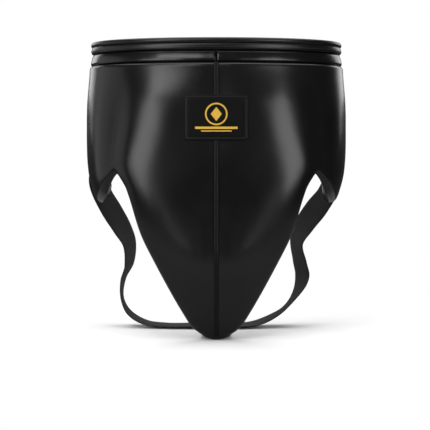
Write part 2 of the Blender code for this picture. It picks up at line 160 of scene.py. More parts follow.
# Centre line of each leg strap, top to bottom: point, then the way its width runs
STRAP_LEFT = [
    ((-0.1380, 0.0435, -0.116), (0.55, 0.84, 0.00)),
    ((-0.1382, 0.0435, -0.140), (0.55, 0.84, 0.00)),
    ((-0.1450, 0.0410, -0.158), (0.52, 0.86, 0.00)),
    ((-0.1405, 0.0440, -0.177), (0.54, 0.84, 0.08)),
    ((-0.1290, 0.0450, -0.198), (0.55, 0.80, 0.20)),
    ((-0.1160, 0.0450, -0.220), (0.48, 0.85, 0.20)),
    ((-0.1070, 0.0450, -0.240), (0.34, 0.93, 0.10)),
    ((-0.1075, 0.0450, -0.264), (0.24, 0.97, 0.05)),
    ((-0.1150, 0.0440, -0.284), (0.10, 0.99, 0.02)),
    ((-0.1160, 0.0420, -0.306), (0.00, 1.00, 0.00)),
    ((-0.1060, 0.0370, -0.324), (0.00, 1.00, 0.05)),
    ((-0.0860, 0.0290, -0.3350), (0.00, 1.00, 0.03)),
    ((-0.0600, 0.0230, -0.3375), (0.00, 1.00, 0.00)),
    ((-0.0300, 0.0200, -0.3372), (0.00, 1.00, 0.00)),
    ((-0.0010, 0.0200, -0.3372), (0.00, 1.00, 0.00)),
]
STRAP_RIGHT = [
    ((0.1380, 0.0435, -0.116), (-0.55, 0.84, 0.00)),
    ((0.1382, 0.0435, -0.140), (-0.55, 0.84, 0.00)),
    ((0.1430, 0.0410, -0.158), (-0.52, 0.86, 0.00)),
    ((0.1365, 0.0440, -0.177), (-0.56, 0.82, 0.08)),
    ((0.1230, 0.0450, -0.196), (-0.62, 0.75, 0.22)),
    ((0.1080, 0.0450, -0.217), (-0.52, 0.82, 0.22)),
    ((0.0990, 0.0450, -0.238), (-0.34, 0.93, 0.10)),
    ((0.1030, 0.0450, -0.262), (-0.38, 0.92, 0.02)),
    ((0.1060, 0.0440, -0.280), (-0.38, 0.92, -0.02)),
    ((0.0990, 0.0420, -0.300), (-0.22, 0.97, -0.10)),
    ((0.0840, 0.0370, -0.318), (0.00, 1.00, 0.00)),
    ((0.0640, 0.0310, -0.3300), (0.00, 1.00, 0.06)),
    ((0.0450, 0.0250, -0.3362), (0.00, 1.00, 0.04)),
    ((0.0250, 0.0200, -0.3372), (0.00, 1.00, 0.00)),
    ((0.0010, 0.0200, -0.3372), (0.00, 1.00, 0.00)),
]

SIDES = ((-1, "left"), (1, "right"))

# The studio: how far the floor reaches, and how bright each light is
FLOOR_SOLID = 0.20
FLOOR_GONE = 0.60
FLOOR_REFLECTED = 0.35
ROOM_LIGHT = 0.05
SOFTBOX_LIGHT = 6.0
SOFTBOX_TURN = 36.0
STRIP_LIGHT = 9.5
SIDE_LIGHT = 0.9
BACK_LIGHT = 2.5
LOW_LIGHT = 1.2
OVERHEAD_LIGHT = 2.8

# The camera: its place in metres, how far it looks down in degrees, and its lens in millimetres
CAMERA_PLACE = (0.0, -1.70, -0.124)
CAMERA_PITCH = 2.62641
CAMERA_LENS = 118.6326
CAMERA_SENSOR = 36.0
CAMERA_SHIFT = -0.003023


# ---------- the body surface ----------


def smooth(stations, at, column=1):
    """The value of a column of stations on a smooth curve through them, by their first column."""
    heights = [s[0] for s in stations]
    values = [s[column] for s in stations]
    if heights[0] > heights[-1]:
        heights, values = heights[::-1], values[::-1]
    at = min(max(at, heights[0]), heights[-1])
    last = len(stations) - 1
    i = 0
    while i < last - 1 and at > heights[i + 1]:
        i += 1

    def slope(k):
        low, high = max(k - 1, 0), min(k + 1, last)
        return (values[high] - values[low]) / (heights[high] - heights[low])

    span = heights[i + 1] - heights[i]
    t = (at - heights[i]) / span
    return (
        (2 * t**3 - 3 * t**2 + 1) * values[i]
        + (t**3 - 2 * t**2 + t) * span * slope(i)
        + (3 * t**2 - 2 * t**3) * values[i + 1]
        + (t**3 - t**2) * span * slope(i + 1)
    )


def step(low, high, at):
    t = min(max((at - low) / (high - low), 0.0), 1.0)
    return t * t * (3 - 2 * t)


def hump(at, centre, width):
    """A smooth hump of height 1 round a centre."""
    return math.exp(-(((at - centre) / width) ** 2))


def rounded(t, power=2):
    """The profile of a rounded edge: 0 at the edge, and 1 from t = 1 on."""
    return math.sqrt(max(1.0 - (1.0 - min(t, 1.0)) ** power, 0.0))


def crowd(t, power):
    """Crowds evenly spaced shares towards 1."""
    return 1 - (1 - t) ** power


def spread(low, high, count):
    """Evenly spaced values from one end to the other."""
    return [low + (high - low) * k / count for k in range(count + 1)]


def raw_point(sections, angle, height):
    """A point on the body surface, whose section is an ellipse at the back and squarer in front."""
    half_width = smooth(sections, height, 1)
    half_depth = smooth(sections, height, 2)
    front = smooth(sections, height, 3)
    turn = math.radians(angle)
    power = smooth(sections, height, 4) if math.cos(turn) > 0 else 2.0
    across = abs(math.sin(turn)) / half_width
    along = abs(math.cos(turn)) / half_depth
    radius = (across**power + along**power) ** (-1 / power)
    return Vector((radius * math.sin(turn), front + half_depth - radius * math.cos(turn), height))


def outward(sections, angle, height):
    along = raw_point(sections, angle + 0.5, height) - raw_point(sections, angle - 0.5, height)
    up = raw_point(sections, angle, height + 0.001) - raw_point(sections, angle, height - 0.001)
    return along.cross(up).normalized()


def body_point(sections, angle, height, depth):
    """A point at a depth under the body surface; the angle is 0 at the front, 90 at the right hip."""
    return raw_point(sections, angle, height) - outward(sections, angle, height) * depth


def angle_at(sections, wide, height):
    """The angle in front where the surface is this far from the middle."""
    low, high = 0.0, 90.0
    for _ in range(24):
        middle = (low + high) / 2
        if raw_point(sections, middle, height).x < wide:
            low = middle
        else:
            high = middle
    return (low + high) / 2


def across_angle(across, height):
    return math.copysign(angle_at(GROIN, abs(across), height), across)


def groin_half_width(height, inset):
    """Half width of the groin panel inside its outline, which ends in a round tip."""
    centre = FLOOR + TIP_RADIUS
    join = centre - TIP_JOIN * (TIP_RADIUS - inset) / TIP_RADIUS
    if height < join:
        return math.sqrt(max((TIP_RADIUS - inset) ** 2 - (height - centre) ** 2, 0.0))
    wide = smooth(GROIN_OUTLINE, height)
    slope = (smooth(GROIN_OUTLINE, height + 0.002) - smooth(GROIN_OUTLINE, height - 0.002)) / 0.004
    facing = 1.0 - 0.28 * min(wide / 0.09, 1.0)
    return wide - inset * math.hypot(1.0, slope) * facing


def mirrored(point, side):
    return Vector((side * point.x, point.y, point.z))


# ---------- making objects ----------


def put(name, data):
    obj = bpy.data.objects.new(name, data)
    bpy.context.scene.collection.objects.link(obj)
    return obj


def link(name, data, material, body=BODY):
    """A visible piece of the object: its data in a material, riding on a body."""
    obj = put(name, data)
    data.materials.append(material)
    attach(obj, body)
    return obj


def mesh_object(name, verts, faces, material, body=BODY, sharp=50, merge=0.000005, uvs=None):
    """A smooth mesh whose edges over the sharp angle stay sharp; uvs has one pair for each point."""
    mesh = bpy.data.meshes.new(name)
    mesh.from_pydata([tuple(v) for v in verts], [], faces)
    if uvs:
        layer = mesh.uv_layers.new(name="UVMap")
        for loop in mesh.loops:
            layer.data[loop.index].uv = uvs[loop.vertex_index]
    bm = bmesh.new()
    bm.from_mesh(mesh)
    bmesh.ops.remove_doubles(bm, verts=bm.verts, dist=merge)
    bmesh.ops.recalc_face_normals(bm, faces=bm.faces)
    bm.to_mesh(mesh)
    bm.free()
    mesh.validate()
    mesh.shade_smooth()
    mesh.set_sharp_from_angle(angle=math.radians(sharp))
    return link(name, mesh, material, body)


def grid_faces(start, columns, rows, turned=False):
    """The quads of a grid of points that are stored row by row from a first index."""
    wide = columns + 1
    faces = []
    for j in range(rows):
        for i in range(columns):
            a = start + j * wide + i
            quad = (a, a + 1, a + 1 + wide, a + wide)
            faces.append(quad[:1] + quad[:0:-1] if turned else quad)
    return faces


def slab_faces(columns, rows):
    """The faces of two grids of points, one over the other, closed round their rim."""
    wide = columns + 1
    other = wide * (rows + 1)
    rim = list(range(wide))
    rim += [j * wide + columns for j in range(1, rows + 1)]
    rim += [rows * wide + i for i in range(columns - 1, -1, -1)]
    rim += [j * wide for j in range(rows - 1, 0, -1)]
    walls = [(a, other + a, other + b, b) for a, b in zip(rim, rim[1:] + rim[:1])]
    return grid_faces(0, columns, rows) + grid_faces(other, columns, rows, True) + walls


def swept(name, rings, material, sharp=70):
    """Rings of points, each joined to the next, with both ends closed."""
    count = len(rings[0])
    last = (len(rings) - 1) * count
    faces = []
    for first in range(0, last, count):
        for q in range(count):
            a, b = first + q, first + (q + 1) % count
            faces.append((a, b, b + count, a + count))
    faces.append(tuple(last + q for q in range(count)))
    faces.append(tuple(range(count - 1, -1, -1)))
    return mesh_object(name, [p for ring in rings for p in ring], faces, material, sharp=sharp)


def closed_tube(name, points, radius, material):
    curve = bpy.data.curves.new(name, "CURVE")
    curve.dimensions = "3D"
    curve.fill_mode = "FULL"
    curve.bevel_depth = 1.0
    curve.bevel_resolution = 4
    spline = curve.splines.new("POLY")
    spline.points.add(len(points) - 1)
    for made, point in zip(spline.points, points):
        made.co = (*point, 1)
        made.radius = radius
    spline.use_cyclic_u = True
    return link(name, curve, material)


def stitches(name, points, lift, body=BODY, length=0.0026, gap=0.0012, radius=0.00032):
    """A row of thread stitches along a line of points; lift gives the outward way at each point."""
    bm = bmesh.new()
    lengths = [0.0]
    for a, b in zip(points, points[1:]):
        lengths.append(lengths[-1] + (b - a).length)

    def at(want):
        i = min(max(bisect.bisect_right(lengths, want) - 1, 0), len(points) - 2)
        share = min((want - lengths[i]) / max(lengths[i + 1] - lengths[i], 1e-9), 1.0)
        return points[i].lerp(points[i + 1], share), lift[i].lerp(lift[i + 1], share).normalized()

    here = gap
    while here + length < lengths[-1]:
        rings = []
        for share, rise, size in (
            (0.0, -0.4, 0.6), (0.18, 0.5, 1.0), (0.5, 0.8, 1.0), (0.82, 0.5, 1.0), (1.0, -0.4, 0.6)
        ):
            spot, up = at(here + length * share)
            ahead = (at(min(here + length * share + 0.0004, lengths[-1]))[0] - spot).normalized()
            side = up.cross(ahead).normalized()
            ring = []
            for turn in spread(0.0, 2 * math.pi, 5)[:5]:
                offset = (side * math.cos(turn) + up * math.sin(turn)) * radius * size
                ring.append(bm.verts.new(spot + up * radius * rise + offset))
            rings.append(ring)
        for a, b in zip(rings, rings[1:]):
            for q in range(5):
                bm.faces.new((a[q], a[(q + 1) % 5], b[(q + 1) % 5], b[q]))
        bm.faces.new(rings[0][::-1])
        bm.faces.new(rings[-1])
        here += length + gap
    bmesh.ops.recalc_face_normals(bm, faces=bm.faces)
    mesh = bpy.data.meshes.new(name)
    bm.to_mesh(mesh)
    bm.free()
    mesh.shade_smooth()
    return link(name, mesh, THREAD, body)


# ---------- materials ----------


class Nodes:
    """A short way to write a material's nodes."""

    def __init__(self, name):
        self.material = bpy.data.materials.new(name)
        self.material.use_nodes = True
        self.tree = self.material.node_tree
        self.shader = self.tree.nodes["Principled BSDF"]
        self.place = self.node("ShaderNodeTexCoord").outputs["Object"]

    def node(self, kind, **values):
        made = self.tree.nodes.new(kind)
        for key, value in values.items():
            setattr(made, key, value)
        return made

    def join(self, source, target):
        self.tree.links.new(source, target)

    def noise(self, scale, detail=3.0, rough=0.55, distort=0.0):
        made = self.node("ShaderNodeTexNoise")
        values = {"Scale": scale, "Detail": detail, "Roughness": rough, "Distortion": distort}
        for key, value in values.items():
            made.inputs[key].default_value = value
        self.join(self.place, made.inputs["Vector"])
        return made.outputs["Fac"]

    def cells(self, scale, feature="DISTANCE_TO_EDGE"):
        made = self.node("ShaderNodeTexVoronoi", feature=feature)
        made.inputs["Scale"].default_value = scale
        self.join(self.place, made.inputs["Vector"])
        return made.outputs["Distance"]

    def split(self, place):
        """The three coordinates of a place."""
        made = self.node("ShaderNodeSeparateXYZ")
        self.join(place, made.inputs[0])
        return made.outputs

    def math(self, how, a, b=None, c=None):
        made = self.node("ShaderNodeMath", operation=how)
        for k, value in enumerate((a, b, c)):
            if value is None:
                continue
            if isinstance(value, (int, float)):
                made.inputs[k].default_value = value
            else:
                self.join(value, made.inputs[k])
        return made.outputs[0]

    def wave(self, source, times):
        return self.math("SINE", self.math("MULTIPLY", source, times))

    def speckle(self, source, low, high):
        """Spreads the middle of a noise's range over two levels."""
        return self.ramp(source, 0.3, 0.7, low, high)

    def threads(self, height, reach, fuzz, share):
        """The tone of a weave: this share from its height, the rest from its fuzz."""
        tone = self.ramp(height, -reach, reach, 0.0, share)
        return self.math("ADD", tone, self.speckle(fuzz, 0.0, 1 - share))

    def ramp(self, source, low, high, to_low=0.0, to_high=1.0):
        made = self.node("ShaderNodeMapRange")
        self.join(source, made.inputs["Value"])
        for key, value in (("From Min", low), ("From Max", high), ("To Min", to_low), ("To Max", to_high)):
            made.inputs[key].default_value = value
        return made.outputs["Result"]

    def blend(self, share, a, b):
        made = self.node("ShaderNodeMix", data_type="RGBA")
        self.join(share, made.inputs["Factor"])
        for key, colour in (("A", a), ("B", b)):
            target = [s for s in made.inputs if s.name == key and s.type == "RGBA"][0]
            if isinstance(colour, tuple):
                target.default_value = (*colour, 1)
            else:
                self.join(colour, target)
        return [s for s in made.outputs if s.type == "RGBA"][0]

    def bump(self, height, strength, distance, before=None):
        made = self.node("ShaderNodeBump")
        made.inputs["Strength"].default_value = strength
        made.inputs["Distance"].default_value = distance
        self.join(height, made.inputs["Height"])
        if before:
            self.join(before, made.inputs["Normal"])
        return made.outputs["Normal"]

    def finish(self, colour=None, rough=None, normal=None, **values):
        for key, source in (("Base Color", colour), ("Roughness", rough), ("Normal", normal)):
            if source is not None:
                self.join(source, self.shader.inputs[key])
        for key, value in values.items():
            self.shader.inputs[key.replace("_", " ")].default_value = value
        return self.material


def leather(name, dark, light, rough, grain=0.10, shine=0.30):
    """Smooth finished hide: fine pebble grain, faint creases and an uneven gloss."""
    m = Nodes(name)
    pebble = m.ramp(m.cells(1500.0), 0.0, 0.28)
    soft = m.noise(900.0)
    crease = m.noise(34.0, 3.0, 0.5, 0.4)
    broad = m.noise(14.0)
    colour = m.blend(m.ramp(broad, 0.35, 0.7), dark, light)
    uneven = m.ramp(broad, 0.3, 0.75, rough - 0.02, rough + 0.03)
    gloss = m.math("ADD", uneven, m.speckle(soft, -0.015, 0.02))
    height = m.math("MULTIPLY_ADD", soft, 0.6, pebble)
    normal = m.bump(height, grain, 0.00010, m.bump(crease, 0.05, 0.0010))
    return m.finish(colour, gloss, normal, Specular_IOR_Level=shine)


def woven(name, dark, light, across, along):
    """Narrow woven elastic: ribs along the band and picks across it, with a slight sheen."""
    m = Nodes(name)
    place = m.split(m.node("ShaderNodeTexCoord").outputs["UV"])
    ribs = m.wave(place[0], across * 2 * math.pi)
    picks = m.wave(place[1], along * 2 * math.pi)
    weave = m.math("MULTIPLY", m.math("MULTIPLY", ribs, picks), 0.4)
    height = m.math("MULTIPLY_ADD", ribs, 0.6, weave)
    fuzz = m.noise(2500.0, 2.0)
    normal = m.bump(fuzz, 0.2, 0.0001, m.bump(height, 0.5, 0.0003))
    return m.finish(
        m.blend(m.threads(height, 1.0, fuzz, 0.7), dark, light),
        m.speckle(fuzz, 0.75, 0.88),
        normal,
        Sheen_Weight=0.06,
        Sheen_Roughness=0.5,
        Specular_IOR_Level=0.25,
    )


def cloth(name, dark, light, scale):
    """Lining cloth: a fine cross weave in space, with soft pilling."""
    m = Nodes(name)
    place = m.split(m.place)
    one = m.wave(m.math("ADD", place[0], place[2]), scale)
    two = m.wave(m.math("SUBTRACT", place[0], place[2]), scale)
    height = m.math("ADD", one, two)
    fuzz = m.noise(1400.0)
    colour = m.blend(m.threads(height, 2.0, fuzz, 0.6), dark, light)
    normal = m.bump(fuzz, 0.3, 0.0002, m.bump(height, 0.35, 0.0002))
    rough = m.speckle(fuzz, 0.79, 0.93)
    return m.finish(colour, rough, normal, Sheen_Weight=0.12, Specular_IOR_Level=0.2)


def pile(name, dark, light, scale):
    """Hook or loop tape: a dense field of tiny tufts."""
    m = Nodes(name)
    tufts = m.cells(scale, "F1")
    fuzz = m.noise(scale * 1.5)
    tone = m.ramp(m.math("MULTIPLY_ADD", fuzz, 0.4, tufts), 0.2, 0.9)
    normal = m.bump(tufts, 0.8, 0.0006)
    return m.finish(m.blend(tone, light, dark), m.speckle(fuzz, 0.8, 0.98), normal)


def thread(name, colour):
    m = Nodes(name)
    twist = m.noise(3500.0, 2.0)
    light = tuple(min(c * 1.8 + 0.01, 1.0) for c in colour)
    rough = m.speckle(twist, 0.5, 0.7)
    return m.finish(m.blend(twist, colour, light), rough, m.bump(twist, 0.3, 0.0001))


def satin(name, dark, light, scale, rough, metallic=0.0, shine=0.25):
    """Woven label cloth or gold embroidery: fine level threads with a soft shine."""
    m = Nodes(name)
    rows = m.wave(m.split(m.place)[2], scale)
    fuzz = m.noise(1800.0)
    colour = m.blend(m.threads(rows, 1.0, fuzz, 0.6), dark, light)
    uneven = m.speckle(fuzz, rough - 0.05, rough + 0.1)
    return m.finish(colour, uneven, m.bump(rows, 0.3, 0.00012), Metallic=metallic, Specular_IOR_Level=shine)


def plastic(name, dark, light):
    m = Nodes(name)
    fine = m.noise(1200.0)
    rough = m.speckle(fine, 0.32, 0.42)
    return m.finish(m.blend(m.noise(30.0), dark, light), rough, m.bump(fine, 0.15, 0.0001))


BLACK = ((0.0036, 0.0036, 0.0038), (0.0056, 0.0056, 0.0059))
LEATHER = leather("black_leather", *BLACK, 0.235)
BINDING = leather("binding_leather", *BLACK, 0.30, 0.16)
WELT = leather("welt_leather", *BLACK, 0.36, 0.16, 0.14)
INNER = leather("inner_leather", *BLACK, 0.48, 0.40)
PATCH = leather("patch_leather", (0.0022, 0.0022, 0.0023), (0.0036, 0.0036, 0.0038), 0.42, 0.35, 0.09)
LINING = cloth("lining_cloth", (0.013, 0.013, 0.014), (0.034, 0.034, 0.036), 5200.0)
ELASTIC = woven("leg_elastic", (0.0028, 0.0028, 0.0030), (0.0080, 0.0080, 0.0085), 17.0, 190.0)
BAND_ELASTIC = woven("back_elastic", (0.0040, 0.0040, 0.0043), (0.0130, 0.0130, 0.0136), 26.0, 70.0)
HOOKS = pile("hook_tape", (0.004, 0.004, 0.004), (0.020, 0.020, 0.021), 900.0)
LOOPS = pile("loop_tape", (0.005, 0.005, 0.005), (0.030, 0.030, 0.031), 1400.0)
THREAD = thread("black_thread", (0.008, 0.008, 0.008))
LABEL = satin("label_weave", (0.0015, 0.0015, 0.0015), (0.0040, 0.0040, 0.0040), 9000.0, 0.62, 0.0, 0.08)
GOLD = satin("gold_thread", (0.42, 0.24, 0.02), (0.78, 0.50, 0.07), 9000.0, 0.38, 0.25)
CUP = plastic("cup_plastic", (0.55, 0.56, 0.58), (0.66, 0.67, 0.69))


# ---------- the padded front ----------


def cup_rise(angle, height):
    """How far the hard cup pushes the leather forward."""
    return CUP_RISE * hump(height, CUP_CREST, 0.036) * hump(angle, 0.0, 27.0)


def wrinkle(angle, height):
    """Slight unevenness of stuffed leather: broad swells, and short folds beside the centre seam."""
    swell = noise.noise(Vector((angle / 17.0, height / 0.048, 1.7)))
    fold = noise.noise(Vector((angle / 26.0, height / 0.0135, 8.3)))
    beside_seam = hump(angle, 5.0, 7.0) * step(-0.110, -0.150, height)
    return 0.00045 * swell + 0.00060 * fold * beside_seam


def padding(angle, height):
    """How far the stuffing lifts the leather above the body surface, at an angle in degrees on a half."""
    seam = step(0.0, 11.0, angle)
    top = step(BODY_TOP, BODY_TOP - 0.045, height)
    ridge = 33.0 + 7.0 * step(-0.060, -0.150, height) - 18.0 * step(-0.195, -0.250, height)
    lobe = 0.0026 * hump(angle, ridge, 15.0) * (1.0 - 0.6 * step(-0.165, -0.230, height))
    hip = 0.0012 * hump(angle, 84.0, 20.0)
    valley = 0.0024 * hump(angle, 53.0, 5.0) * step(-0.030, -0.110, height)
    stuffing = seam * top * (lobe + hip) + wrinkle(angle, height)
    return stuffing + cup_rise(angle, height) - valley - 0.0009 * (1 - seam)


def distances(outline, points):
    """The distance of each point from the outline."""
    spots = numpy.array([tuple(p) for p in points])
    corners = numpy.array([tuple(p) for p in outline])
    best = numpy.full(len(spots), 1.0)
    for a, b in zip(corners[:-1], corners[1:]):
        line = b - a
        length = max(float(line @ line), 1e-12)
        share = numpy.clip((spots - a) @ line / length, 0.0, 1.0)
        away = spots - a - share[:, None] * line
        best = numpy.minimum(best, numpy.sqrt((away**2).sum(axis=1)))
    return [float(value) for value in best]


def lip_angle(height):
    return APEX_ANGLE + LIP_SLANT * max(APEX_HEIGHT - height, 0.0)


def rear_line(height):
    """The wing's rear edge, which slants forward under the leg strap."""
    return REAR_ANGLE - REAR_SLANT * step(SLANT_TOP, SLANT_BOTTOM, height)


def tab_bottom(s):
    corner = TAB_CORNER * (max(0.0, 0.25 - s) ** 2 + 1.4 * max(0.0, s - 0.75) ** 2) / 0.0625
    return TAB_BOTTOM + corner


def tab_place(s, t):
    """Angle and height on a hip tab: s runs from the leg lip to the rear edge, t downwards."""
    height = APEX_HEIGHT + t * (tab_bottom(s) - APEX_HEIGHT)
    front = lip_angle(height)
    return front + s * (rear_line(height) - front), height


def half_grids():
    """The regions of a half: for each, its sections, columns, rows, place function and free sides."""

    def top_height(t):
        return BODY_TOP + t**TOP_CROWDING * (APEX_HEIGHT - BODY_TOP)

    def inner_top(s, t):
        return s**0.9 * APEX_ANGLE, top_height(t)

    def outer_top(s, t):
        height = top_height(t)
        return APEX_ANGLE + crowd(s, 1.3) * (rear_line(height) - APEX_ANGLE), height

    def groin(s, t):
        height = APEX_HEIGHT + crowd(t, TIP_CROWDING) * (FLOOR - APEX_HEIGHT)
        edge = APEX_ANGLE if t == 0 else angle_at(GROIN, groin_half_width(height, 0.0), height)
        return (s**0.9 * (1 - t) + crowd(s, 1.6) * t) * edge, height

    def tab(s, t):
        return tab_place(crowd(s, 1.3), crowd(t, 1.5))

    return (
        (GROIN, 44, 50, inner_top, ("top", "left")),
        (WING, 44, 50, outer_top, ("top", "right")),
        (GROIN, 44, 84, groin, ("left", "right", "bottom")),
        (WING, 44, 22, tab, ("left", "right", "bottom")),
    )


def outline_points():
    """The half's free outline on the surface: groin edge, apex, lip, tab bottom and rear edge."""
    points = []
    for t in spread(1.0, 0.0, 60):
        height = APEX_HEIGHT + crowd(t, TIP_CROWDING) * (FLOOR - APEX_HEIGHT)
        points.append(raw_point(GROIN, angle_at(GROIN, groin_half_width(height, 0.0), height), height))
    tab = [(0.0, k / 16) for k in range(1, 17)]
    tab += [(k / 30, 1.0) for k in range(1, 31)]
    tab += [(1.0, 1 - k / 10) for k in range(1, 11)]
    points += [raw_point(WING, *tab_place(s, t)) for s, t in tab]
    return points + [raw_point(WING, rear_line(h), h) for h in spread(APEX_HEIGHT, BODY_TOP, 24)]


def places(sections, columns, rows, place):
    """Each point of a grid, row by row: its angle, its height and its distance from the outline."""
    spots = [place(i / columns, j / rows) for j in range(rows + 1) for i in range(columns + 1)]
    gaps = distances(outline_points(), [raw_point(sections, *spot) for spot in spots])
    return [(*spot, gap) for spot, gap in zip(spots, gaps)]


def padded_half(side, word):
    """The leather cover of one half, stuffed, with rounded edges all round its outline."""
    middle = PANEL_DEPTH / 2
    verts, faces = [], []
    for sections, columns, rows, place, free in half_grids():
        wide, start = columns + 1, len(verts)
        inside = []
        for angle, height, gap in places(sections, columns, rows, place):
            half = middle * rounded(gap / EDGE_ROUND)
            rise = padding(angle, height) * step(0.0, EDGE_FADE, gap)
            roll = TOP_ROLL * (1 - rounded((BODY_TOP - height) / TOP_ROLL))
            point, push = raw_point(sections, angle, height), outward(sections, angle, height)
            verts.append(mirrored(point - push * (middle - half - rise + roll), side))
            inside.append(mirrored(point - push * (middle + half - COVER_OVERLAP), side))
        verts += inside
        shift = len(inside)
        faces += grid_faces(start, columns, rows) + grid_faces(start + shift, columns, rows, True)
        borders = {
            "top": [start + i for i in range(wide)],
            "left": [start + j * wide for j in range(rows + 1)],
            "right": [start + j * wide + columns for j in range(rows + 1)],
            "bottom": [start + rows * wide + i for i in range(wide)],
        }
        for border in free:
            line = borders[border]
            faces += [(a, a + shift, b + shift, b) for a, b in zip(line, line[1:])]
    obj = mesh_object(
        "padded_cover_" + word, verts, faces, LEATHER, sharp=60, merge=COVER_MERGE
    )
    covered = ("front_cover_", "groin_edge_", "wing_edge_", "abdomen_foam_", "hip_foam_", "groin_foam_")
    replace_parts(obj, *[node + word for node in covered])


def reach(angle, height):
    """Metres along the surface for each degree of angle."""
    return (raw_point(WING, angle + 0.5, height) - raw_point(WING, angle - 0.5, height)).length


def cut_gap(height):
    """How far the lining keeps from the leg cut-out's edge, rounded off above the apex."""
    return LINING_INSET * rounded(1.0 - (height - APEX_HEIGHT) / APEX_ROUND)


def lining_grids():
    """The regions of a lining half, inset from the rolled edges."""
    top, split = BODY_TOP - 0.001, APEX_HEIGHT + APEX_ROUND
    end = FLOOR + TIP_RADIUS - (TIP_RADIUS - LINING_INSET) * math.cos(math.radians(18))

    def rear(height):
        slope = (rear_line(height + 0.003) - rear_line(height - 0.003)) / 0.006 * reach(REAR_ANGLE, height)
        return rear_line(height) - LINING_INSET * math.hypot(1.0, slope) / reach(REAR_ANGLE, height)

    def inner_top(s, t):
        return s * APEX_ANGLE, top + t * (split - top)

    def outer_top(s, t):
        height = top + t * (split - top)
        return APEX_ANGLE + s * (rear(height) - APEX_ANGLE), height

    def groin(s, t):
        height = split + crowd(t, 1.4) * (end - split)
        if height >= APEX_HEIGHT:
            edge = APEX_ANGLE - cut_gap(height) / reach(APEX_ANGLE, height)
        else:
            edge = angle_at(GROIN, groin_half_width(height, LINING_INSET), height)
        return s * edge, height

    def tab(s, t):
        height = split + t * (tab_bottom(s) + LINING_INSET - split)
        front = lip_angle(height) + cut_gap(height) / reach(lip_angle(height), height)
        return front + s * (rear(height) - front), height

    return (
        (GROIN, 22, 22, inner_top),
        (WING, 24, 22, outer_top),
        (GROIN, 22, 48, groin),
        (WING, 24, 12, tab),
    )


def lining_half(side, word):
    """The cloth lining on the wearer's side of a half, sewn into the rolled edges and the rim."""
    verts, faces = [], []
    for sections, columns, rows, place in lining_grids():
        faces += grid_faces(len(verts), columns, rows)
        for angle, height, gap in places(sections, columns, rows, place):
            low = 0.0018 * hump(gap, LINING_INSET, 0.0025)
            verts.append(mirrored(body_point(sections, angle, height, PANEL_DEPTH + 0.0006 - low), side))
    behind = spread(0.0, 45.0, 24)[:24] + spread(45.0, REAR_ANGLE - 5.0, 40)
    faces += grid_faces(len(verts), 4, len(behind) - 1)
    for angle in behind:
        sections = GROIN if angle < APEX_ANGLE else WING
        low = body_point(sections, angle, BODY_TOP - 0.004, PANEL_DEPTH + 0.0010)
        high = body_point(WAIST, angle, LINING_TOP, 0.0112)
        verts += [mirrored(low.lerp(high, k / 4), side) for k in range(5)]
    obj = mesh_object("lining_cloth_" + word, verts, faces, LINING)
    solid = obj.modifiers.new("thickness", "SOLIDIFY")
    solid.thickness = 0.0008
    solid.offset = 0
    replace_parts(obj, "lining_" + word)


# ---------- waistband and rim ----------


def ring_profile(centre, size, count, power):
    """A rounded section: centre and half sizes as (depth, height)."""
    found = []
    for k in range(count):
        turn = 2 * math.pi * k / count
        ways = zip(centre, size, (math.cos(turn), math.sin(turn)))
        found.append(tuple(at + half * math.copysign(abs(way) ** (2 / power), way) for at, half, way in ways))
    return found


def band_pad(side, word):
    """One half of the stuffed band under the rim, pinched where the halves are sewn together."""
    middle = -RIM_HEIGHT - 0.0003 - BAND_HEIGHT / 2
    section = ring_profile((0.0, 0.0), (BAND_HALF_DEPTH, BAND_HEIGHT / 2 + 0.0007), 32, 3.4)
    rings = []
    for angle in [0.12 + 1.6 * (k / 12) ** 1.8 for k in range(12)] + spread(1.72, REAR_ANGLE, 120):
        pinch = 0.55 + 0.45 * rounded((angle - 0.1) / 1.5)
        uneven = 0.0005 * noise.noise(Vector((angle / 9.0, side * 3.1, 0.4)))
        ring = []
        for depth, rise in section:
            outside = BAND_LEAN * rise + uneven if depth < 0 else 0.0
            height = middle + rise * (0.9 + 0.1 * pinch)
            deep = BAND_DEPTH + depth * pinch + outside
            ring.append(mirrored(body_point(WAIST, angle, height, deep), side))
        rings.append(ring)
    band = swept("waistband_pad_" + word, rings, LEATHER)
    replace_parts(band, "waistband_" + word)


def rim():
    """The rolled bead along the top edge, the tape under it, and the tape's two rows of stitches."""
    half = BEAD_HEIGHT / 2
    bead = ring_profile((BEAD_DEPTH, RIM_TOP - half), (BEAD_HALF_DEPTH, half), 18, 2.1)
    half = (TAPE_TOP + RIM_HEIGHT) / 2
    tape = ring_profile((TAPE_DEPTH, TAPE_TOP - half), (TAPE_HALF_DEPTH, half), 22, 4.0)
    for name, node, section in (("rim_roll", "rim_bead", bead), ("rim_binding_tape", "rim_tape", tape)):
        rings = [
            [body_point(WAIST, angle, height, depth) for depth, height in section]
            for angle in spread(-REAR_ANGLE, REAR_ANGLE, 220)
        ]
        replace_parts(swept(name, rings, BINDING), node)
    angles = spread(1 - REAR_ANGLE, REAR_ANGLE - 1, 240)
    for word, depth, push in (("outside", STITCHES_OUTSIDE, 1), ("inside", STITCHES_INSIDE, -1)):
        points = [body_point(WAIST, angle, RIM_STITCHES, depth) for angle in angles]
        lift = [outward(WAIST, angle, RIM_STITCHES) * push for angle in angles]
        stitches("rim_stitches_" + word, points, lift)


# ---------- centre seam ----------


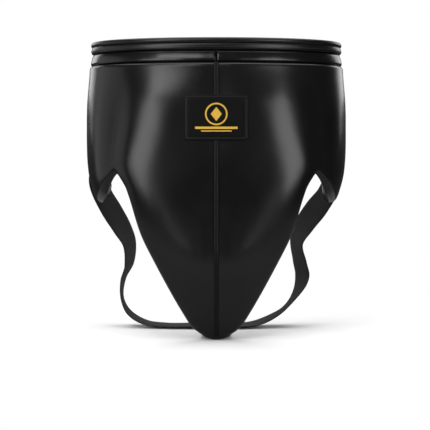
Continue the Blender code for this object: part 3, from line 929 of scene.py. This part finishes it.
def centre_seam():
    """The double welt over the join of the halves, with a sewn groove down its middle."""
    section = []
    for across in spread(-WELT_HALF_WIDTH, WELT_HALF_WIDTH, 24):
        lobe = abs(across) / WELT_HALF_WIDTH
        rise = math.sqrt(max(1 - ((lobe - 0.52) / 0.48) ** 2, 0.0)) if lobe > 0.04 else 0.0
        section.append((Vector((across, 0, 0)), WELT_RISE * rise - WELT_SUNK))
    for name, top, bottom in (
        ("centre_welt_upper", BODY_TOP + 0.0005, -0.0632),
        ("centre_welt_lower", -0.1124, -0.3345),
    ):
        heights = spread(top, bottom, max(int((top - bottom) / WELT_ROW), 8))

        def line(depth):
            return [body_point(GROIN, 0.0, height, depth - cup_rise(0.0, height)) for height in heights]

        lift = [outward(GROIN, 0.0, height) for height in heights]
        verts = []
        for spot, push in zip(line(0.0), lift):
            verts += [spot + across + push * rise for across, rise in section]
        verts += [spot + across for spot in line(WELT_UNDER) for across, _ in section]
        faces = slab_faces(len(section) - 1, len(heights) - 1)
        obj = mesh_object(name, verts, faces, WELT)
        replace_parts(obj, name.replace("welt", "piping"))
        stitches(name + "_stitches", line(0.0001), lift, length=0.0030, gap=0.0016, radius=0.0003)


# ---------- label ----------


def on_front(across, height, rise):
    return body_point(GROIN, across_angle(across, height), height, -rise)


def divided(corners, parts=None):
    """A closed outline with each side split: in this many parts, or in parts of LABEL_SIDE."""
    found = []
    for (ax, az), (bx, bz) in zip(corners, corners[1:] + corners[:1]):
        count = parts or max(1, int(math.hypot(bx - ax, bz - az) / LABEL_SIDE))
        found += [(ax + (bx - ax) * k / count, az + (bz - az) * k / count) for k in range(count)]
    return found


def badge(name, sizes, material):
    """A rounded rectangle laid on the front, crowned at its edge; gives its outline and middle too."""
    half_wide, top, bottom, corner_top, corner_bottom, low, high = sizes
    middle = (top + bottom) / 2
    half_high = (top - bottom) / 2
    border = []
    for quarter, (sx, sz) in enumerate(((1, 1), (-1, 1), (-1, -1), (1, -1))):
        corner = corner_top if sz > 0 else corner_bottom
        for k in range(9):
            turn = math.radians(90 * (quarter + k / 8))
            x = sx * (half_wide - corner) + corner * math.cos(turn)
            border.append((x, middle + sz * (half_high - corner) + corner * math.sin(turn)))
    outline = divided(border)
    rings = [(1.0, low), (1.0, high - 0.0003)] + [(scale, high) for scale in (0.988, 0.93, 0.7, 0.4, 0.12)]
    points = [
        [on_front(x * scale, middle + (z - middle) * scale, rise) for x, z in outline]
        for scale, rise in rings
    ]
    return swept(name, points, material, sharp=40), outline, middle


def label():
    """The stitched leather patch, the woven label on it, and the label's mark."""
    back, outline, middle = badge("label_leather_patch", LABEL_PATCH, PATCH)
    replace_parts(back, "label_backing")
    line = [on_front(x * 0.94, middle + (z - middle) * 0.925, 0.0023) for x, z in outline]
    line.append(line[0])
    stitches("label_patch_stitches", line, [Vector((0, -1, 0))] * len(line), length=0.0022, gap=0.0010)
    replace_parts(badge("label_woven", LABEL_FACE, LABEL)[0], "label")
    emblem()


def emblem():
    """A plain mark in gold thread: a ring round a solid diamond, over two level bars."""
    verts, faces = [], []

    def band(outer, inner):
        """Adds the raised band between two outlines."""
        start, count = len(verts), len(outer)
        for outline, rise in ((outer, MARK_LOW), (outer, MARK_HIGH), (inner, MARK_HIGH), (inner, MARK_LOW)):
            verts.extend(on_front(x, MARK_HEIGHT + z, rise) for x, z in outline)
        for r in range(4):
            here, beyond = start + r * count, start + (r + 1) % 4 * count
            for k in range(count):
                n = (k + 1) % count
                faces.append((here + k, here + n, beyond + n, beyond + k))

    def solid(outline):
        """Adds a raised shape, as a band that closes to almost nothing."""
        x, z = [sum(values) / len(outline) for values in zip(*outline)]
        band(outline, [(x + (px - x) * 0.02, z + (pz - z) * 0.02) for px, pz in outline])

    turns = [2 * math.pi * k / 48 for k in range(48)]
    band(*[[(r * math.cos(t), RING_LIFT + r * math.sin(t)) for t in turns] for r in RING_RADII])
    wide, high = DIAMOND
    corners = [(wide, 0), (0, high), (-wide, 0), (0, -high)]
    solid(divided([(x, z + RING_LIFT) for x, z in corners], 4))
    for wide, high, z in BARS:
        solid(divided([(wide, z - high), (wide, z + high), (-wide, z + high), (-wide, z - high)], 6))
    obj = mesh_object("label_mark", verts, faces, GOLD, sharp=40)
    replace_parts(obj, "label_emblem")


# ---------- straps ----------


def ribbon(name, route, width, thickness, segments, material):
    """A flat band with real thickness along a route, and its length; its UVs run across and down."""
    stations = [
        (k / (len(route) - 1), *spot, *Vector(across).normalized())
        for k, (spot, across) in enumerate(route)
    ]

    def value(t, *columns):
        return Vector([smooth(stations, t, column) for column in columns])

    rows = []
    for t in spread(0.0, 1.0, segments):
        ahead = (value(min(t + 0.002, 1.0), 1, 2, 3) - value(max(t - 0.002, 0.0), 1, 2, 3)).normalized()
        across = value(t, 4, 5, 6)
        across = (across - ahead * across.dot(ahead)).normalized()
        rows.append((t, value(t, 1, 2, 3), across, across.cross(ahead).normalized()))
    verts, uvs = [], []
    for layer in (1, -1):
        for t, spot, across, up in rows:
            for s in spread(-0.5, 0.5, RIBBON_COLUMNS):
                half = layer * thickness / 2 * (1.0 - 0.45 * step(0.42, 0.5, abs(s)))
                verts.append(spot + across * width * s + up * half)
                uvs.append((s + 0.5, t))
    length = sum((b[1] - a[1]).length for a, b in zip(rows, rows[1:]))
    faces = slab_faces(RIBBON_COLUMNS, segments)
    return mesh_object(name, verts, faces, material, uvs=uvs), length


def straps():
    """The leg straps, and the stitched patches that sew them to the wings."""
    for word, route in (("left", STRAP_LEFT), ("right", STRAP_RIGHT)):
        name = "leg_webbing_" + word
        obj, length = ribbon(name, route, STRAP_WIDTH, STRAP_THICKNESS, 150, ELASTIC)
        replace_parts(obj, "leg_strap_" + word)
    for side, word in SIDES:
        across = (-side * 0.55, 0.84, 0.0)
        push = Vector((side * 0.84, 0.55, 0.0))
        route = [((side * ANCHOR_X, ANCHOR_Y, z), across) for z in ANCHOR_ROWS]
        obj, _ = ribbon("strap_patch_" + word, route, ANCHOR_WIDTH, ANCHOR_THICKNESS, 14, PATCH)
        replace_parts(obj, "strap_anchor_" + word)
        centre = Vector((side * ANCHOR_X, ANCHOR_Y, ANCHOR_Z)) + push * 0.0008
        wide, high = Vector(across).normalized() * ANCHOR_STITCHES[0], Vector((0, 0, ANCHOR_STITCHES[1]))
        corners = [
            centre + wide * a + high * b
            for a, b in ((-1, 1), (1, 1), (1, -1), (-1, -1), (-1, 1), (1, -1), (1, 1), (-1, -1))
        ]
        line = [a.lerp(b, k / 12) for a, b in zip(corners, corners[1:]) for k in range(12)]
        stitches("strap_patch_stitches_" + word, line, [push] * len(line))


def dress(name, material):
    """Gives a CAD piece that is seen as it is a material of its own."""
    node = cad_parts[name]
    node.data.materials.clear()
    node.data.materials.append(material)


# ---------- cup ----------


def cup_pieces():
    """The hard cup and its liner, as the CAD part has them, and the cushion round the cup's rim."""
    dress("groin_cup", CUP)
    dress("cup_liner", LINING)
    points = []
    for k in range(120):
        turn = 2 * math.pi * k / 120
        height = CUSHION_CENTRE + CUSHION_HALF_HEIGHT * math.cos(turn)
        across = CUSHION_HALF_WIDTH * math.sin(turn) * (1.0 + CUSHION_FLARE * math.cos(turn))
        points.append(body_point(GROIN, across_angle(across, height), height, CUSHION_DEPTH))
    ring = closed_tube("cup_rim_cushion", points, CUSHION_RADIUS, INNER)
    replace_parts(ring, "cup_cushion")


# ---------- rear closure ----------


def back_slab(name, low, high, margin, depth, thickness, material, body, slot, corner=0.0):
    """A curved panel of the rear closure; corner rounds the end at the low angle."""
    middle = (CLOSURE_TOP + CLOSURE_BOTTOM) / 2
    half = (CLOSURE_TOP - CLOSURE_BOTTOM) / 2 - margin
    verts, uvs = [], []
    for rise in (1, -1):
        for t in spread(0.0, 1.0, SLAB_ROWS):
            for s in spread(0.0, 1.0, SLAB_COLUMNS):
                angle = low + s * (high - low)
                share = 0.55 + 0.45 * rounded((angle - low) / corner, 2.6) if corner else 1.0
                height = middle + half * share * (1 - 2 * t)
                near = min(min(s, 1 - s) * (high - low) / 0.5, min(t, 1 - t) * 2 * half / 0.0011, 1.0)
                soft = rise * (1 - 0.5 * (1 - near) ** 2)
                verts.append(body_point(UPPER, angle, height, depth + thickness / 2 * (1 - soft)))
                uvs.append((t, s))
    return mesh_object(name, verts, slab_faces(SLAB_COLUMNS, SLAB_ROWS), material, body, 45, uvs=uvs)


def back_stitches(name, low, high, margin, depth, body=BODY):
    """A rectangle of stitches on the outside of the rear closure."""
    top, bottom = CLOSURE_TOP - margin, CLOSURE_BOTTOM + margin
    corners = [(low, top), (high, top), (high, bottom), (low, bottom), (low, top)]
    places = [
        (a + (c - a) * k / 24, b + (d - b) * k / 24)
        for (a, b), (c, d) in zip(corners, corners[1:])
        for k in range(24)
    ]
    line = [body_point(UPPER, angle, height, depth) for angle, height in places]
    stitches(name, line, [outward(UPPER, angle, height) for angle, height in places], body)


def closure():
    """Every piece of the rear closure: its angles, its margin inside the bands, depth and thickness."""
    band = (0.0, 0.0058, 0.0018, BAND_ELASTIC, BODY, "elastic")
    loops = (0.010, 0.0040, 0.0013, LOOPS, BODY, "hook_and_loop")
    hooks = (0.014, 0.0022, 0.0013, HOOKS, FLAP, "hook_and_loop")
    flap = (0.010, -0.0002, 0.0019, LEATHER, FLAP, "leather", FLAP_CORNER)
    strip = (0.004, 0.0005, 0.0048, PATCH, BODY, "leather")
    for name, node, low, high, looks in (
        ("rear_band_right", "back_elastic_right", REAR_ANGLE - 3.0, 188.0, band),
        ("rear_band_left", "back_elastic_left", 189.0, 363.0 - REAR_ANGLE, band),
        ("loop_tape_panel", "loop_patch", 140.0, 186.0, loops),
        ("hook_tape_panel", "hook_patch", 148.0, 186.0, hooks),
        ("closure_flap", "closure_tab", 144.0, 189.5, flap),
        ("closure_sewn_strip", "closure_seam_strip", 190.6, 196.0, strip),
    ):
        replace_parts(back_slab(name, low, high, *looks), node)
    back_stitches("flap_stitches", 149.0, 188.3, 0.0125, -0.0003, FLAP)
    back_stitches("strip_stitches", 191.4, 195.2, 0.006, 0.0004)
    back_stitches("loop_stitches", 140.6, 143.2, 0.012, 0.0039)


# ---------- stage ----------


def stage():
    """A pale floor that fades into a white studio; only its light near the object matters."""
    m = Nodes("floor")
    m.finish(Base_Color=(0.92, 0.92, 0.92, 1), Roughness=0.6)
    away = m.node("ShaderNodeVectorMath", operation="LENGTH")
    m.join(m.place, away.inputs[0])
    clear = m.node("ShaderNodeBsdfTransparent")
    mix = m.node("ShaderNodeMixShader")
    faded = m.ramp(away.outputs["Value"], FLOOR_SOLID, FLOOR_GONE)
    glossy = m.node("ShaderNodeLightPath").outputs["Is Glossy Ray"]
    m.join(m.math("MAXIMUM", faded, m.math("MULTIPLY", glossy, 1.0 - FLOOR_REFLECTED)), mix.inputs[0])
    m.join(m.shader.outputs[0], mix.inputs[1])
    m.join(clear.outputs[0], mix.inputs[2])
    m.join(mix.outputs[0], m.tree.nodes["Material Output"].inputs["Surface"])
    bpy.ops.mesh.primitive_plane_add(size=2 * FLOOR_GONE, location=(0, 0, FLOOR - 0.0004))
    floor = bpy.context.object
    floor.name = "floor"
    floor.data.materials.append(m.material)
    world = bpy.data.worlds.new("studio")
    bpy.context.scene.world = world
    world.use_nodes = True
    tree = world.node_tree
    sky = tree.nodes["Background"]
    sky.inputs["Color"].default_value = (1, 1, 1, 1)
    seen = tree.nodes.new("ShaderNodeLightPath")
    level = tree.nodes.new("ShaderNodeMapRange")
    tree.links.new(seen.outputs["Is Camera Ray"], level.inputs["Value"])
    level.inputs["To Min"].default_value = ROOM_LIGHT
    level.inputs["To Max"].default_value = 1.0
    tree.links.new(level.outputs["Result"], sky.inputs["Strength"])


def lamp(name, place, target, size, radiance, turn=0.0):
    """A soft rectangular light of a given brightness, turned about its own beam."""
    data = bpy.data.lights.new(name, "AREA")
    data.shape = "RECTANGLE"
    data.size, data.size_y = size
    data.energy = radiance * math.pi * size[0] * size[1]
    obj = put(name, data)
    obj.location = place
    aim = (Vector(target) - Vector(place)).to_track_quat("-Z", "Y")
    obj.rotation_euler = (aim @ Quaternion((0, 0, 1), math.radians(turn))).to_euler()
    obj.visible_camera = False


def lights():
    """Each lamp's place, what it points at, its size in metres and its brightness."""
    for side, word in SIDES:
        target = (side * 0.04, -0.11, -0.10)
        turn = side * SOFTBOX_TURN
        lamp("softbox_" + word, (side * 0.79, -1.10, 0.10), target, (0.62, 0.60), SOFTBOX_LIGHT, turn)
        target = (side * 0.05, -0.12, -0.21)
        lamp("low_" + word, (side * 0.27, -0.78, -0.26), target, (0.12, 0.13), LOW_LIGHT)
        lamp("back_" + word, (side * 1.1, 1.3, 0.45), (0, 0, -0.12), (0.8, 0.8), BACK_LIGHT)
    lamp("strip_left", (-0.46, -1.11, 0.58), (-0.05, -0.11, -0.03), (0.72, 0.24), STRIP_LIGHT)
    lamp("side_left", (-1.35, 0.05, 0.0), (-0.1, 0, -0.1), (1.2, 1.0), SIDE_LIGHT)
    lamp("overhead", (0, 0.10, 1.70), (0, 0, FLOOR), (2.6, 2.6), OVERHEAD_LIGHT)


def camera():
    data = bpy.data.cameras.new("camera")
    data.lens = CAMERA_LENS
    data.sensor_width = CAMERA_SENSOR
    data.shift_x = CAMERA_SHIFT
    obj = put("camera", data)
    obj.location = CAMERA_PLACE
    obj.rotation_euler = (math.radians(90 - CAMERA_PITCH), 0, 0)
    bpy.context.scene.camera = obj


def main():
    bpy.context.scene.view_settings.view_transform = "Standard"
    camera()
    stage()
    lights()
    for side, word in SIDES:
        padded_half(side, word)
        lining_half(side, word)
        band_pad(side, word)
    rim()
    centre_seam()
    label()
    straps()
    dress("tip_tongue", PATCH)
    cup_pieces()
    closure()


main()
